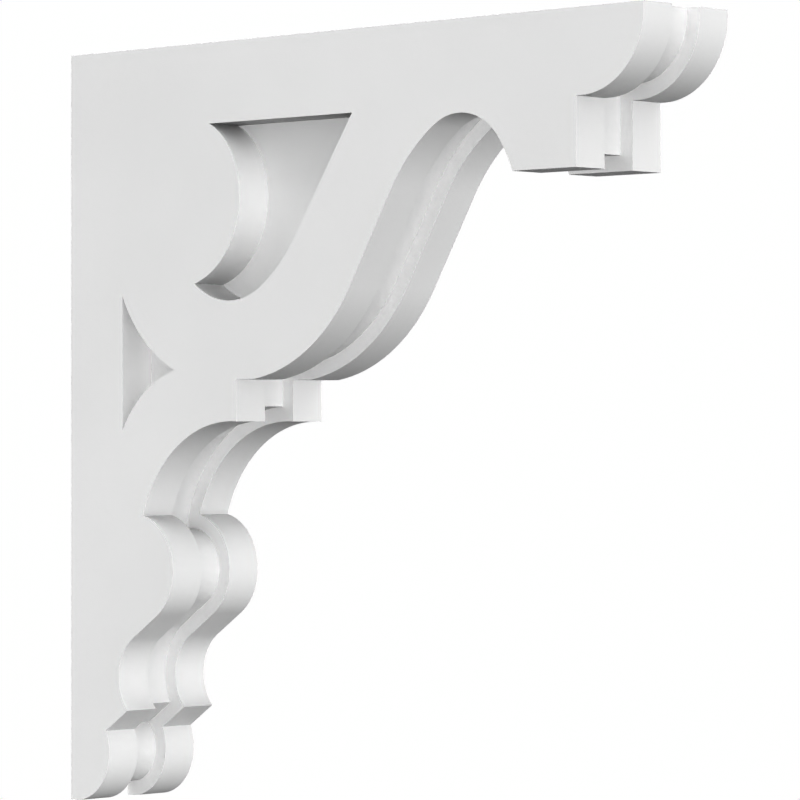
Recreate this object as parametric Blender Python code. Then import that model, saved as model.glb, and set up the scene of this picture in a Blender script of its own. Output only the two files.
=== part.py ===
"""Scrolled wall bracket (corbel), built from three boards glued face to face.

Both side plates have the same moulded outline and the same two openings, cut right
through them. The centre board closes the openings from behind, so that they read as
pockets one board deep. It is flush with the plates at the wall and at the top, and
stands back from them all along the moulded front.

Metres, +Z up. The wall face lies in the plane y = 0, the bracket reaches out towards -Y,
and the origin is the middle of the wall face.
"""

import math
from collections import namedtuple

import bpy
from mathutils import Matrix, Vector

# Whole bracket
HEIGHT = 0.6604
PROJECTION = 0.6697
BOARD_THICKNESS = 0.03367
GLUE_LINE = 0.0003
SETBACK = 0.0130

# Top arm: its square-edged depth, the rounded nose and the block that drops from it
ARM_DEPTH = 0.0696
NOSE_LIP = 0.0050
BLOCK_SETBACK = 0.0697
BLOCK_LENGTH = 0.0680
BLOCK_DROP = 0.0561

# Lower block, and how far the long sweep overhangs it
LOWER_BLOCK_FRONT = 0.2130
LOWER_BLOCK_HEIGHT = 0.0360
SWEEP_OVERHANG = 0.0214

# Foot mouldings, stacked from the foot up to the lower block: the rise of each
CURL_RISE = 0.0633
SLANT_RISE = 0.0191
HOLLOW_RISE = 0.0636
LINK_RISE = 0.0203
BELLY_RISE = 0.0870
COVE_RISE = 0.0821

# Foot mouldings: how far out from the wall each one starts
FOOT_FLAT = 0.0060
CURL_TOP_OUT = 0.0462
HOLLOW_FOOT_OUT = 0.0746
HOLLOW_TOP_OUT = 0.0816
BELLY_FOOT_OUT = 0.1121
BELLY_TOP_OUT = 0.0946

# Foot mouldings: the angle that each round turns through, in degrees
CURL_ARC = 115.2
HOLLOW_ARC = 99.5
BELLY_ARC = 134.8
COVE_ARC = 75.8

# Scroll pocket: what is left of the board behind it and below it, and its reach
SCROLL_WALL_BAND = 0.1607
SCROLL_FOOT_BAND = 0.0826
SCROLL_REACH = 0.1908

# Triangular pocket, with its sharp tip just above the lower block
TRIANGLE_WALL_BAND = 0.0679
TRIANGLE_REACH = 0.0669
TRIANGLE_TIP_RISE = 0.0085
TRIANGLE_UPPER = 0.0655
TRIANGLE_LOWER = 0.0523
TRIANGLE_UPPER_ARC = 41.5
TRIANGLE_LOWER_ARC = 46.7

# A round edge is drawn with one straight facet for each of these degrees
FACET_DEGREES = 3.0

PAINT_COLOUR = (0.80, 0.80, 0.80, 1.0)
PAINT_ROUGHNESS = 0.55

# A corner of an outline: its distance from the wall, its height above the foot, the
# degrees that the edge to the next corner turns through (left is positive, 0 is a
# straight edge), and whether that edge belongs to the moulded front
Corner = namedtuple("Corner", "out up bend moulded", defaults=(0.0, True))

LOWER_BLOCK_BASE = CURL_RISE + SLANT_RISE + HOLLOW_RISE + LINK_RISE + BELLY_RISE + COVE_RISE
LOWER_BLOCK_TOP = LOWER_BLOCK_BASE + LOWER_BLOCK_HEIGHT
ARM_UNDERSIDE = HEIGHT - ARM_DEPTH


def fitted(shares, low, high):
    """Corners of a free curve, given as shares of the box between two opposite corners."""
    width = high[0] - low[0]
    rise = high[1] - low[1]
    return [Corner(low[0] + u * width, low[1] + v * rise, bend) for u, v, bend in shares]


def arm_edges():
    """The top of the bracket, its nose and the drop block, from the wall outwards."""
    nose_radius = ARM_DEPTH - NOSE_LIP
    block_front = PROJECTION - BLOCK_SETBACK
    block_base = ARM_UNDERSIDE - BLOCK_DROP
    return [
        Corner(0.0, HEIGHT, moulded=False),
        Corner(PROJECTION, HEIGHT),
        Corner(PROJECTION, HEIGHT - NOSE_LIP, bend=-90.0),
        Corner(PROJECTION - nose_radius, ARM_UNDERSIDE),
        Corner(block_front, ARM_UNDERSIDE),
        Corner(block_front, block_base),
    ]


def sweep_edges():
    """The arch behind the drop block and the long sweep down to the lower block."""
    low = (LOWER_BLOCK_FRONT + SWEEP_OVERHANG, LOWER_BLOCK_TOP)
    high = (PROJECTION - BLOCK_SETBACK - BLOCK_LENGTH, ARM_UNDERSIDE - BLOCK_DROP)
    shares = [
        (1.0, 1.0, 15.8),
        (0.947, 1.173, 86.3),
        (0.706, 1.249, 25.4),
        (0.544, 0.942, 0.0),
        (0.3835, 0.460, -50.7),
        (0.0, 0.0, 0.0),
    ]
    return fitted(shares, low, high)


def foot_edges():
    """The lower block and the mouldings under it, down to the foot and back to the wall."""
    slant_foot = CURL_RISE
    slant_top = slant_foot + SLANT_RISE
    hollow_top = slant_top + HOLLOW_RISE
    belly_foot = hollow_top + LINK_RISE
    belly_top = belly_foot + BELLY_RISE
    return [
        Corner(LOWER_BLOCK_FRONT, LOWER_BLOCK_TOP),
        Corner(LOWER_BLOCK_FRONT, LOWER_BLOCK_BASE, bend=COVE_ARC),
        Corner(BELLY_TOP_OUT, belly_top, bend=-BELLY_ARC),
        Corner(BELLY_FOOT_OUT, belly_foot),
        Corner(HOLLOW_TOP_OUT, hollow_top, bend=HOLLOW_ARC),
        Corner(HOLLOW_FOOT_OUT, slant_top),
        Corner(CURL_TOP_OUT, slant_foot, bend=-CURL_ARC),
        Corner(FOOT_FLAT, 0.0),
        Corner(0.0, 0.0, moulded=False),
    ]


def plate_outline():
    """The whole outline of a side plate, clockwise from the top of the wall face."""
    return arm_edges() + sweep_edges() + foot_edges()


def scroll_outline():
    """The scroll pocket: a straight slope up to the arm, a round foot that ends in a sharp
    tip, and a round lobe of the plate that swells into it from the wall side."""
    low = (SCROLL_WALL_BAND, LOWER_BLOCK_TOP + SCROLL_FOOT_BAND)
    high = (SCROLL_WALL_BAND + SCROLL_REACH, ARM_UNDERSIDE)
    shares = [
        (1.0, 1.0, 0.0),
        (0.639, 0.257, -23.3),
        (0.427, -0.031, -71.2),
        (0.0, 0.0, 97.8),
        (0.259, 0.768, 40.2),
        (0.0985, 1.0, 0.0),
    ]
    return fitted(shares, low, high)


def triangle_outline():
    """The triangular pocket: one upright side and two that bow inwards to a sharp tip."""
    tip_height = LOWER_BLOCK_TOP + TRIANGLE_TIP_RISE
    return [
        Corner(TRIANGLE_WALL_BAND, tip_height + TRIANGLE_UPPER, bend=TRIANGLE_UPPER_ARC),
        Corner(TRIANGLE_WALL_BAND + TRIANGLE_REACH, tip_height, bend=TRIANGLE_LOWER_ARC),
        Corner(TRIANGLE_WALL_BAND, tip_height - TRIANGLE_LOWER),
    ]


def place(corner):
    """A corner's place in the plane of the boards."""
    return Vector((corner.out, corner.up))


def arc_centre(start, end, bend):
    """Centre of the arc that turns through bend degrees on its way from start to end."""
    chord = end - start
    left = Vector((-chord.y, chord.x))
    return (start + end) / 2 + left / (2 * math.tan(math.radians(bend) / 2))


def drawn(corners):
    """Points along a closed outline, with the arcs broken into short facets."""
    points = []
    for corner, following in zip(corners, corners[1:] + corners[:1]):
        start = place(corner)
        points.append(start)
        if corner.bend:
            centre = arc_centre(start, place(following), corner.bend)
            facets = math.ceil(abs(corner.bend) / FACET_DEGREES)
            step = math.radians(corner.bend) / facets
            spoke = start - centre
            points += [centre + Matrix.Rotation(step * i, 2) @ spoke for i in range(1, facets)]
    return points


def inward_move(spot, corner, following, depth):
    """The way into the board from an edge near a spot, and how far the spot has to move
    that way to lie at the given depth inside the edge."""
    start, end = place(corner), place(following)
    if not corner.bend:
        along = (end - start).normalized()
        inward = Vector((along.y, -along.x))
        return inward, depth - (spot - start).dot(inward)
    centre = arc_centre(start, end, corner.bend)
    bulges = corner.bend < 0
    outward = (spot - centre) if bulges else (centre - spot)
    inside = (start - centre).length - outward.length
    return -outward.normalized(), depth - (inside if bulges else -inside)


def set_back(corners, depth):
    """An outline with its moulded edges moved inwards, each arc about its own centre."""
    count = len(corners)
    spots = []
    for i, corner in enumerate(corners):
        before = corners[i - 1]
        following = corners[(i + 1) % count]
        depth_before = depth if before.moulded else 0.0
        depth_after = depth if corner.moulded else 0.0
        spot = place(corner)
        # Two edges that meet smoothly are moved along their shared normal. Others are
        # followed to where they cross, which takes a few steps where one of them is round.
        for _ in range(8):
            way_a, gap_a = inward_move(spot, before, corner, depth_before)
            way_b, gap_b = inward_move(spot, corner, following, depth_after)
            spread = way_a.cross(way_b)
            if abs(spread) < 0.02:
                spot += (way_a * gap_a + way_b * gap_b) / 2
            else:
                across = gap_a * way_b.y - gap_b * way_a.y
                up = gap_b * way_a.x - gap_a * way_b.x
                spot += Vector((across, up)) / spread
        spots.append(spot)
    moved = []
    for i, corner in enumerate(corners):
        following = corners[(i + 1) % count]
        bend = corner.bend
        if bend:
            centre = arc_centre(place(corner), place(following), bend)
            first, last = spots[i] - centre, spots[(i + 1) % count] - centre
            bend = math.copysign(math.degrees(first.angle(last)), bend)
        moved.append(Corner(spots[i].x, spots[i].y, bend, corner.moulded))
    return moved


def painted(name):
    """Smooth, matt white paint for one board."""
    material = bpy.data.materials.new(name)
    material.use_nodes = True
    shader = material.node_tree.nodes["Principled BSDF"]
    shader.inputs["Base Color"].default_value = PAINT_COLOUR
    shader.inputs["Roughness"].default_value = PAINT_ROUGHNESS
    shader.inputs["Metallic"].default_value = 0.0
    return material


def board(name, layer, outlines, collection):
    """One board of the stack. The first outline is its edge, any others are cut through it.

    The layer counts from the middle of the bracket, towards -X if it is negative.
    """
    curve = bpy.data.curves.new(name, "CURVE")
    curve.dimensions = "2D"
    curve.fill_mode = "BOTH"
    curve.extrude = BOARD_THICKNESS / 2
    for outline in outlines:
        points = drawn(outline)
        spline = curve.splines.new("POLY")
        spline.points.add(len(points) - 1)
        spline.use_cyclic_u = True
        for knot, point in zip(spline.points, points):
            knot.co = (point.x, point.y - HEIGHT / 2, 0.0, 1.0)
    curve.materials.append(painted(name + "_paint"))
    piece = bpy.data.objects.new(name, curve)
    # The curve's own X points out from the wall and its own Y points up
    piece.rotation_euler = (math.pi / 2, 0.0, -math.pi / 2)
    piece.location.x = layer * (BOARD_THICKNESS + GLUE_LINE)
    collection.objects.link(piece)
    return piece


def build():
    for leftover in list(bpy.data.objects):
        bpy.data.objects.remove(leftover)
    collection = bpy.data.collections.new("corbel")
    bpy.context.scene.collection.children.link(collection)
    plate = plate_outline()
    pockets = [scroll_outline(), triangle_outline()]
    board("left_side_plate", -1, [plate] + pockets, collection)
    board("centre_board", 0, [set_back(plate, SETBACK)], collection)
    board("right_side_plate", 1, [plate] + pockets, collection)


build()
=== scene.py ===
"""The looks of the scrolled wall bracket: three painted boards, studio light and a camera."""

import math

import bmesh
import bpy
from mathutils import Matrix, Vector


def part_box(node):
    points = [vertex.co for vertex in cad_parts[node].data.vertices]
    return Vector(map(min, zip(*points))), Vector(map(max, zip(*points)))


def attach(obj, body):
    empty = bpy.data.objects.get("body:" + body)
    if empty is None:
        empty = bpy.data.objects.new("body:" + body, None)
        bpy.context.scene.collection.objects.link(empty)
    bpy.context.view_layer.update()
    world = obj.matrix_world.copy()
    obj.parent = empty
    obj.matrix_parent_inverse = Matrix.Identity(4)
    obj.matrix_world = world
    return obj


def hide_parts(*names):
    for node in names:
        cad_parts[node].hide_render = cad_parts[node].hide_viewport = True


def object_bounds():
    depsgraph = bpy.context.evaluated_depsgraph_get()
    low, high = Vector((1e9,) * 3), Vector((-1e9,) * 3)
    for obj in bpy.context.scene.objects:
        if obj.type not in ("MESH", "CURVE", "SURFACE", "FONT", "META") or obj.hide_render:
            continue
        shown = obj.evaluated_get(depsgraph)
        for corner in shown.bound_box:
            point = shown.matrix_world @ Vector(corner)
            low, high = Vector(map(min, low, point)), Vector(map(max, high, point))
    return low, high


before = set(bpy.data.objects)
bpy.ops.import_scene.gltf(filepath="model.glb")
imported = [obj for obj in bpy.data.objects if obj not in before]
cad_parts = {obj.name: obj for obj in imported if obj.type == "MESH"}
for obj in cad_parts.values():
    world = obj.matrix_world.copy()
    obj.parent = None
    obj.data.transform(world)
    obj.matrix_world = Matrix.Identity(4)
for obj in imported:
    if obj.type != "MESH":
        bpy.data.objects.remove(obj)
CAD_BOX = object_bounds()

# Boards: the CAD piece that each one is finished from, its own name and its finish
BOARDS = {
    "left_side_plate": ("left_plate_painted", "side_plates"),
    "centre_board": ("centre_board_painted", "centre_board"),
    "right_side_plate": ("right_plate_painted", "side_plates"),
}

# Board making, in metres and degrees: points this close are one, faces this flat to each other
# are one, and edges this sharp are eased
WELD = 0.00001
FLAT_WITHIN = 0.2
SHARP_ABOVE = 24.0
EASED_EDGE = 0.00012
EASE_STEPS = 2

# How near a point has to be to a plane to lie on it, and how far a side plate reaches into the
# centre board, so that no glue line shows
ON_PLANE = 0.00005
GLUE_BITE = 0.00005

# White paint over solid foamed board: its colour, how far its tone drifts either way, and how
# matt it is where it lies smoothest and roughest
PAINT = (0.80, 0.80, 0.80, 1.0)
TONE_DRIFT = 0.012
SMOOTHEST = 0.50
ROUGHEST = 0.60

# Surface of the paint: patterns in repeats a metre, heights in metres
TONE_REPEATS = 5.0
SHEEN_REPEATS = 40.0
PEEL_REPEATS = 420.0
PEEL_HEIGHT = 0.000006

# Soft noise: how much finer noise is laid over it, and the values that it mostly stays between
CLOUD_DETAIL = 2.0
PEEL_DETAIL = 1.0
NOISE_LOW = 0.3
NOISE_HIGH = 0.7

# Cut edges, told by how squarely a surface faces along X: a cut edge up to the first value, the
# flat of a board from the second one
CUT_UP_TO = 0.3
FLAT_FROM = 0.7

# Marks that the router leaves along the cut edges, across the board's thickness: repeats a
# metre along the cut and across the board, and depth in metres
MARKS_ALONG_CUT = 560.0
MARKS_ACROSS_BOARD = 9.0
MARK_DEPTH = 0.000012

# Closed pores of the foamed board that show faintly through the paint on the cut edges: repeats
# a metre, the share of places that have one, where its floor ends and its rim lies as shares of
# its width, and its depth in metres
PORE_REPEATS = 760.0
PORE_SHARE = 0.12
PORE_FLOOR = 0.05
PORE_RIM = 0.35
PORE_DEPTH = 0.00003

# Camera, fitted to the photograph: 800 pixels a side, a level view from the left front
CAMERA_PLACE = (-2.4273, -2.7165, -0.0003)
CAMERA_TURN = 45.54
CAMERA_LENS = 182.30
SENSOR = 36.0
SHIFT_X = 0.025
SHIFT_Y = 0.035
SEES_FROM = 0.1
SEES_TO = 60.0

# Studio: a pale floor well below the bracket, and white surroundings that light it from all
# round. The camera sees the surroundings at full white.
FLOOR_RADIUS = 9.0
FLOOR_SIDES = 96
FLOOR_DROP = 0.16
WHITE = (1.0, 1.0, 1.0, 1.0)
FULL_WHITE = 1.0
ROOM_LIGHT = 0.447

# Soft lamps: the side each stands on in degrees (0 is +X, 90 is +Y), its height above level in
# degrees, its spread in degrees and its strength in watts a square metre
LAMPS = {
    "key_by_camera": (229.0, 1.0, 4.0, 2.79),
    "front_low": (267.0, -30.0, 25.0, 0.10),
    "right_front": (300.0, 45.0, 40.0, 0.26),
    "back_top": (120.0, 60.0, 40.0, 1.18),
    "back_fill": (30.0, 0.0, 40.0, 2.00),
}

# Lamps that cast no shadows and lamps that leave no gloss, as in the photograph, and how often
# light goes on from one surface to the next
SHADOWLESS = ("key_by_camera",)
GLOSSLESS = ("key_by_camera", "back_fill")
BOUNCES = 1

# Contrast of the finished picture: below 1 it is stronger than plain, as in the photograph
CONTRAST = 0.42


def only(piece):
    """Makes one object the active and the only selected one."""
    bpy.ops.object.select_all(action="DESELECT")
    piece.select_set(True)
    bpy.context.view_layer.objects.active = piece


def merged_copy(node, name):
    """A CAD board as one welded skin, with each flat stretch a single face."""
    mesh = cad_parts[node].data.copy()
    mesh.name = name
    mesh.materials.clear()
    piece = bpy.data.objects.new(name, mesh)
    bpy.context.scene.collection.objects.link(piece)
    only(piece)
    if mesh.has_custom_normals:
        bpy.ops.mesh.customdata_custom_splitnormals_clear()
    bpy.ops.object.mode_set(mode="EDIT")
    bpy.ops.mesh.select_all(action="SELECT")
    bpy.ops.mesh.remove_doubles(threshold=WELD)
    bpy.ops.mesh.dissolve_limited(angle_limit=math.radians(FLAT_WITHIN))
    bpy.ops.mesh.select_all(action="DESELECT")
    bpy.ops.object.mode_set(mode="OBJECT")
    return piece


def glued_up(piece, node):
    """Closes the glue line: the inner face of a side plate moves up against the centre board."""
    centre_low, centre_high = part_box("centre_board")
    plate_low, plate_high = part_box(node)
    if plate_high.x < centre_low.x:
        inner, closes = plate_high.x, centre_low.x - plate_high.x + GLUE_BITE
    else:
        inner, closes = plate_low.x, centre_high.x - plate_low.x - GLUE_BITE
    for vertex in piece.data.vertices:
        vertex.select = abs(vertex.co.x - inner) < ON_PLANE
    only(piece)
    bpy.ops.object.mode_set(mode="EDIT")
    bpy.ops.transform.translate(value=(closes, 0.0, 0.0))
    bpy.ops.mesh.select_all(action="DESELECT")
    bpy.ops.object.mode_set(mode="OBJECT")
    piece.data.update()


def loop_touches_wall(edge, plane_edges):
    """Whether the run of edges that this one belongs to reaches the wall face."""
    seen = {edge}
    queue = [edge]
    while queue:
        here = queue.pop()
        for vertex in here.verts:
            if abs(vertex.co.y) < ON_PLANE:
                return True
            for other in vertex.link_edges:
                if other in plane_edges and other not in seen:
                    seen.add(other)
                    queue.append(other)
    return False


def glued_edges(edges):
    """The edges of a side plate that lie flush on the centre board: round the pockets, along the
    wall face and along the top."""
    inner = min(abs(vertex.co.x) for edge in edges for vertex in edge.verts)
    top = max(vertex.co.z for edge in edges for vertex in edge.verts)
    on_inner = {
        edge for edge in edges
        if all(abs(abs(vertex.co.x) - inner) < ON_PLANE for vertex in edge.verts)
    }
    flush = set()
    for edge in on_inner:
        at_wall = all(abs(vertex.co.y) < ON_PLANE for vertex in edge.verts)
        at_top = all(vertex.co.z > top - ON_PLANE for vertex in edge.verts)
        if at_wall or at_top or not loop_touches_wall(edge, on_inner):
            flush.add(edge)
    return flush


def long_edges(edges):
    """The edges of the centre board that lie against a side plate: all but those across it."""
    against = set()
    for edge in edges:
        a, b = edge.verts
        if abs(a.co.x - b.co.x) < ON_PLANE:
            against.add(edge)
    return against


def eased(piece, keep_sharp):
    """Takes the sharpness off the edges of a board, apart from those that keep_sharp picks."""
    work = bmesh.new()
    work.from_mesh(piece.data)
    weight = work.edges.layers.float.new("bevel_weight_edge")
    sharp = [
        edge for edge in work.edges
        if edge.calc_face_angle(0.0) > math.radians(SHARP_ABOVE)
    ]
    kept = keep_sharp(sharp)
    for edge in sharp:
        edge[weight] = 0.0 if edge in kept else 1.0
    work.to_mesh(piece.data)
    work.free()
    only(piece)
    bpy.ops.object.shade_smooth_by_angle(angle=math.radians(SHARP_ABOVE))
    bevel = piece.modifiers.new("ease", "BEVEL")
    bevel.limit_method = "WEIGHT"
    bevel.width = EASED_EDGE
    bevel.segments = EASE_STEPS
    bevel.harden_normals = True
    bpy.ops.object.modifier_apply(modifier=bevel.name)


def add_node(tree, kind, values=None, **settings):
    """A shader node with its own settings, and with plain values on its inputs."""
    node = tree.nodes.new(kind)
    for name, value in settings.items():
        setattr(node, name, value)
    for name, value in (values or {}).items():
        node.inputs[name].default_value = value
    return node


def wire(tree, source, output, target, entry):
    """Links an output of one node to an input of another."""
    tree.links.new(source.outputs[output], target.inputs[entry])


def product(tree, first, first_output, second, second_output):
    """One value times another."""
    times = add_node(tree, "ShaderNodeMath", operation="MULTIPLY")
    wire(tree, first, first_output, times, 0)
    wire(tree, second, second_output, times, 1)
    return times


def new_group(name, entries, results):
    """A node group with its named sockets, and the nodes at its two ends."""
    tree = bpy.data.node_groups.new(name, "ShaderNodeTree")
    for label, kind in entries.items():
        tree.interface.new_socket(name=label, in_out="INPUT", socket_type=kind)
    for label, kind in results.items():
        tree.interface.new_socket(name=label, in_out="OUTPUT", socket_type=kind)
    return tree, tree.nodes.new("NodeGroupInput"), tree.nodes.new("NodeGroupOutput")


def cloud(tree, place, repeats, detail):
    """Soft noise at a size given in repeats a metre."""
    noise = add_node(tree, "ShaderNodeTexNoise", {"Scale": repeats, "Detail": detail})
    wire(tree, place, "Object", noise, "Vector")
    return noise


def spread_over(tree, noise, low, high):
    """Noise stretched so that it runs from one value to another."""
    ramp = add_node(tree, "ShaderNodeMapRange", {
        "From Min": NOISE_LOW, "From Max": NOISE_HIGH, "To Min": low, "To Max": high,
    })
    wire(tree, noise, "Fac", ramp, "Value")
    return ramp


def paint_film_group():
    """Sprayed paint: a tone that drifts slowly, an uneven sheen and a fine orange peel."""
    tree, given, result = new_group(
        "paint_film",
        {"Paint": "NodeSocketColor", "Tone Drift": "NodeSocketFloat"},
        {"Colour": "NodeSocketColor", "Roughness": "NodeSocketFloat", "Peel": "NodeSocketFloat"},
    )
    place = add_node(tree, "ShaderNodeTexCoord")

    # The paint's own colour, times 1 and the drift either way
    drift = spread_over(tree, cloud(tree, place, TONE_REPEATS, CLOUD_DETAIL), -1.0, 1.0)
    tone = add_node(tree, "ShaderNodeMath", {2: 1.0}, operation="MULTIPLY_ADD")
    wire(tree, drift, "Result", tone, 0)
    wire(tree, given, "Tone Drift", tone, 1)
    tinted = add_node(tree, "ShaderNodeVectorMath", operation="SCALE")
    wire(tree, given, "Paint", tinted, "Vector")
    wire(tree, tone, "Value", tinted, "Scale")

    blotches = cloud(tree, place, SHEEN_REPEATS, CLOUD_DETAIL)
    sheen = spread_over(tree, blotches, SMOOTHEST, ROUGHEST)
    peel = cloud(tree, place, PEEL_REPEATS, PEEL_DETAIL)
    wire(tree, tinted, "Vector", result, "Colour")
    wire(tree, sheen, "Result", result, "Roughness")
    wire(tree, peel, "Fac", result, "Peel")
    return tree


def cut_edge_group():
    """Edges cut with a router: the marks along the cut and scattered pores."""
    tree, given, result = new_group(
        "cut_edge",
        {"Pore Share": "NodeSocketFloat"},
        {"Marks": "NodeSocketFloat", "Pores": "NodeSocketFloat"},
    )
    place = add_node(tree, "ShaderNodeTexCoord")

    # Mask: 1 on the cut edges and 0 on the flats of the boards
    facing = add_node(tree, "ShaderNodeSeparateXYZ")
    wire(tree, place, "Normal", facing, "Vector")
    sideways = add_node(tree, "ShaderNodeMath", operation="ABSOLUTE")
    wire(tree, facing, "X", sideways, 0)
    cut = add_node(tree, "ShaderNodeMapRange", {
        "From Min": CUT_UP_TO, "From Max": FLAT_FROM, "To Min": 1.0, "To Max": 0.0,
    })
    wire(tree, sideways, "Value", cut, "Value")

    # Router marks: noise drawn out across the board
    lines = add_node(tree, "ShaderNodeMapping", {
        "Scale": (MARKS_ACROSS_BOARD, MARKS_ALONG_CUT, MARKS_ALONG_CUT),
    })
    wire(tree, place, "Object", lines, "Vector")
    chatter = add_node(tree, "ShaderNodeTexNoise", {"Scale": 1.0, "Detail": CLOUD_DETAIL})
    wire(tree, lines, "Vector", chatter, "Vector")
    marks = product(tree, chatter, "Fac", cut, "Result")

    # Pores: a dimple in some of the cells
    cells = add_node(tree, "ShaderNodeTexVoronoi", {"Scale": PORE_REPEATS})
    wire(tree, place, "Object", cells, "Vector")
    draw = add_node(tree, "ShaderNodeSeparateColor")
    wire(tree, cells, "Color", draw, "Color")
    open_cell = add_node(tree, "ShaderNodeMath", operation="LESS_THAN")
    wire(tree, draw, "Red", open_cell, 0)
    wire(tree, given, "Pore Share", open_cell, 1)
    dimple = add_node(tree, "ShaderNodeMapRange", {
        "From Min": PORE_FLOOR, "From Max": PORE_RIM, "To Min": -1.0, "To Max": 0.0,
    })
    wire(tree, cells, "Distance", dimple, "Value")
    chosen = product(tree, dimple, "Result", open_cell, "Value")
    pores = product(tree, chosen, "Value", cut, "Result")

    wire(tree, marks, "Value", result, "Marks")
    wire(tree, pores, "Value", result, "Pores")
    return tree


def relief(tree, source, output, height, below=None):
    """A bump of a real height in metres, on top of another one if there is one below it."""
    bump = add_node(tree, "ShaderNodeBump", {"Strength": 1.0, "Distance": height})
    wire(tree, source, output, bump, "Height")
    if below:
        wire(tree, below, "Normal", bump, "Normal")
    return bump


def painted_board(name, film, edge):
    """Matt white paint on a foamed board, with what its cut edges let show through."""
    material = bpy.data.materials.new(name)
    material.use_nodes = True
    tree = material.node_tree
    shader = tree.nodes["Principled BSDF"]
    coat = add_node(tree, "ShaderNodeGroup", node_tree=film)
    coat.inputs["Paint"].default_value = PAINT
    coat.inputs["Tone Drift"].default_value = TONE_DRIFT
    sawn = add_node(tree, "ShaderNodeGroup", node_tree=edge)
    sawn.inputs["Pore Share"].default_value = PORE_SHARE
    marks = relief(tree, sawn, "Marks", MARK_DEPTH)
    pores = relief(tree, sawn, "Pores", PORE_DEPTH, below=marks)
    peel = relief(tree, coat, "Peel", PEEL_HEIGHT, below=pores)
    wire(tree, coat, "Colour", shader, "Base Color")
    wire(tree, coat, "Roughness", shader, "Roughness")
    wire(tree, peel, "Normal", shader, "Normal")
    return material


def make_boards():
    """The three boards, glued up, eased and painted."""
    film = paint_film_group()
    edge = cut_edge_group()
    finishes = {
        "side_plates": painted_board("side_plate_paint", film, edge),
        "centre_board": painted_board("centre_board_paint", film, edge),
    }
    for node, (name, slot) in BOARDS.items():
        piece = merged_copy(node, name)
        if node == "centre_board":
            eased(piece, long_edges)
        else:
            glued_up(piece, node)
            eased(piece, glued_edges)
        piece.data.materials.append(finishes[slot])
        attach(piece, "root")
        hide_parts(node)


def make_floor():
    """A plain pale floor, see-through from below, that neither lights nor shades the bracket."""
    low = CAD_BOX[0]
    bpy.ops.object.select_all(action="DESELECT")
    bpy.ops.mesh.primitive_circle_add(
        vertices=FLOOR_SIDES, radius=FLOOR_RADIUS, fill_type="NGON",
        location=(0.0, 0.0, low.z - FLOOR_DROP),
    )
    floor = bpy.context.object
    floor.name = "studio_floor"
    floor.visible_diffuse = False
    floor.visible_glossy = False
    floor.visible_shadow = False
    material = bpy.data.materials.new("studio_floor")
    material.use_nodes = True
    tree = material.node_tree
    tree.nodes.remove(tree.nodes["Principled BSDF"])
    pale = add_node(tree, "ShaderNodeEmission", {"Color": WHITE, "Strength": FULL_WHITE})
    side = add_node(tree, "ShaderNodeNewGeometry")
    clear = add_node(tree, "ShaderNodeBsdfTransparent")
    mix = add_node(tree, "ShaderNodeMixShader")
    wire(tree, side, "Backfacing", mix, 0)
    wire(tree, pale, "Emission", mix, 1)
    wire(tree, clear, "BSDF", mix, 2)
    wire(tree, mix, "Shader", tree.nodes["Material Output"], "Surface")
    floor.data.materials.append(material)


def make_surroundings():
    """Soft even light from all round, behind which the camera sees plain white."""
    world = bpy.data.worlds.new("studio")
    world.use_nodes = True
    tree = world.node_tree
    room = tree.nodes["Background"]
    room.inputs["Color"].default_value = WHITE
    room.inputs["Strength"].default_value = ROOM_LIGHT
    backdrop = add_node(tree, "ShaderNodeBackground", {"Color": WHITE, "Strength": FULL_WHITE})
    seen = add_node(tree, "ShaderNodeLightPath")
    mix = add_node(tree, "ShaderNodeMixShader")
    wire(tree, seen, "Is Camera Ray", mix, 0)
    wire(tree, room, "Background", mix, 1)
    wire(tree, backdrop, "Background", mix, 2)
    wire(tree, mix, "Shader", tree.nodes["World Output"], "Surface")
    bpy.context.scene.world = world


def make_lamp(name, side, height, spread, strength):
    """A soft lamp, far enough off to light the whole bracket alike."""
    turn = math.radians(side)
    rise = math.radians(height)
    towards = Vector((
        math.cos(turn) * math.cos(rise),
        math.sin(turn) * math.cos(rise),
        math.sin(rise),
    ))
    data = bpy.data.lights.new(name, "SUN")
    data.energy = strength
    data.angle = math.radians(spread)
    data.use_shadow = name not in SHADOWLESS
    lamp = bpy.data.objects.new(name, data)
    lamp.visible_glossy = name not in GLOSSLESS
    lamp.rotation_euler = towards.to_track_quat("Z", "Y").to_euler()
    bpy.context.scene.collection.objects.link(lamp)


def make_light():
    """The lamps, the surroundings and how far their light carries on."""
    for name, (side, height, spread, strength) in LAMPS.items():
        make_lamp(name, side, height, spread, strength)
    make_surroundings()
    bpy.context.scene.cycles.diffuse_bounces = BOUNCES


def make_camera():
    """The camera that sees the bracket as the photograph does."""
    data = bpy.data.cameras.new("camera")
    data.sensor_width = SENSOR
    data.lens = CAMERA_LENS
    data.shift_x = SHIFT_X
    data.shift_y = SHIFT_Y
    data.clip_start = SEES_FROM
    data.clip_end = SEES_TO
    camera = bpy.data.objects.new("camera", data)
    camera.location = CAMERA_PLACE
    camera.rotation_euler = (math.pi / 2, 0.0, -math.radians(CAMERA_TURN))
    bpy.context.scene.collection.objects.link(camera)
    bpy.context.scene.camera = camera


def make_scene():
    """The bracket in its studio."""
    make_boards()
    make_floor()
    make_light()
    make_camera()
    bpy.context.scene.view_settings.view_transform = "Standard"
    bpy.context.scene.view_settings.gamma = CONTRAST


make_scene()
